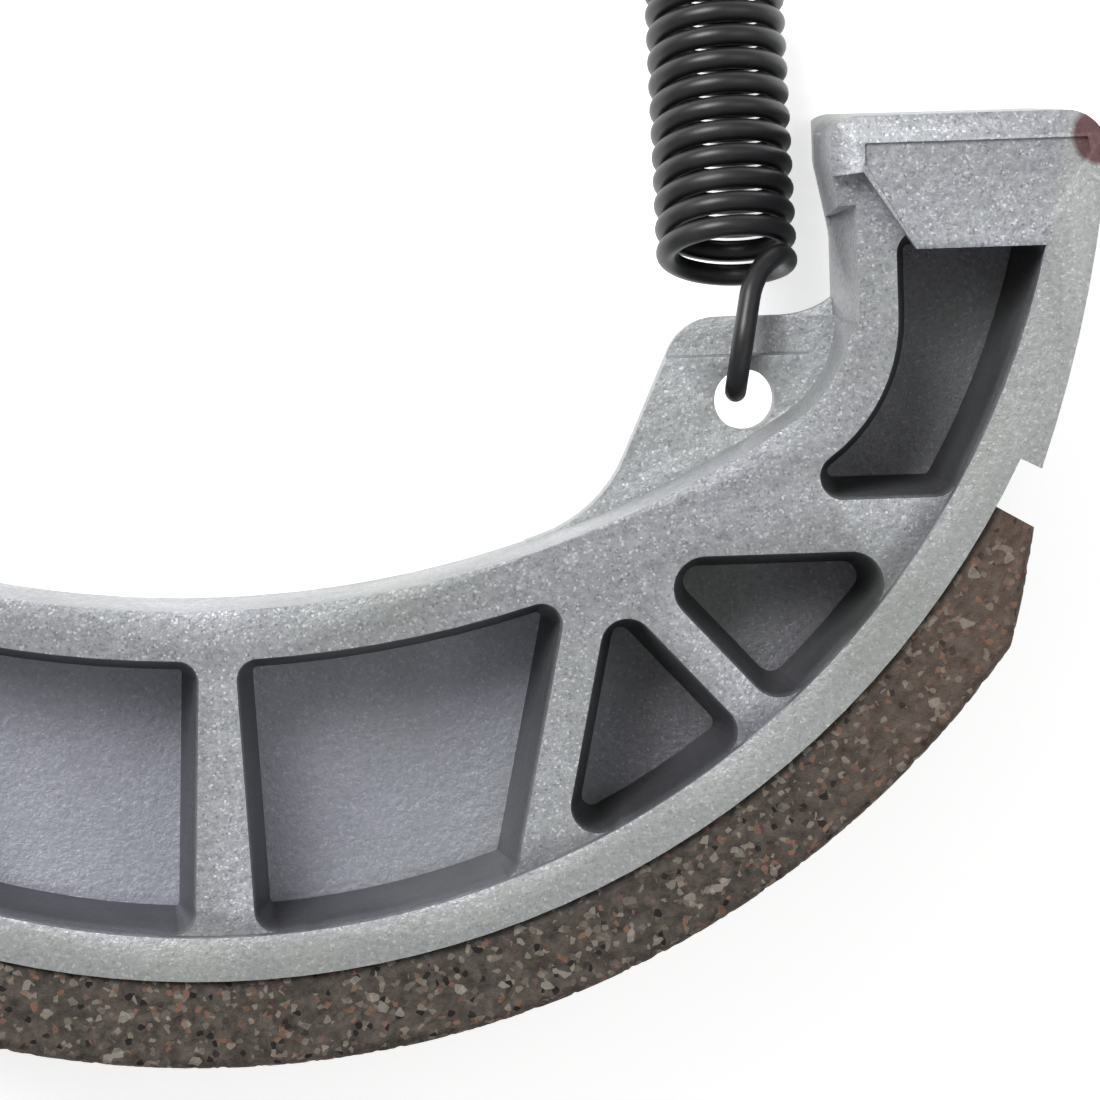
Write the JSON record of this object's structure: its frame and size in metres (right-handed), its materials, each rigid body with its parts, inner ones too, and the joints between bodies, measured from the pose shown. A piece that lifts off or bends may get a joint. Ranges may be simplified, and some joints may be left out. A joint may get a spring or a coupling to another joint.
{
  "type": "drum brake shoe",
  "caption": "Curved drum brake shoe: pocketed cast alloy body with a flat cam end and a round pin seat, a bonded friction lining and a hooked coil return spring.",
  "frame": {"origin": "on the brake drum's axis, in the plane of the shoe's back face", "axes": "+Z along the drum's axis towards the shoe's front face, +X towards the cam end, -Y through the middle of the lining"},
  "size_m": [0.0998, 0.0677, 0.025],
  "materials": {
    "cast_alloy": "die cast, unpainted, satin with a fine grain",
    "lining": "moulded brown-grey friction compound with fibres and flecks, rough",
    "spring_steel": "black coated spring wire, glossy"
  },
  "bodies": {
    "root": {"shoe_casting": "cast_alloy", "friction_lining": "lining", "return_spring": "spring_steel"}
  },
  "joints": []
}
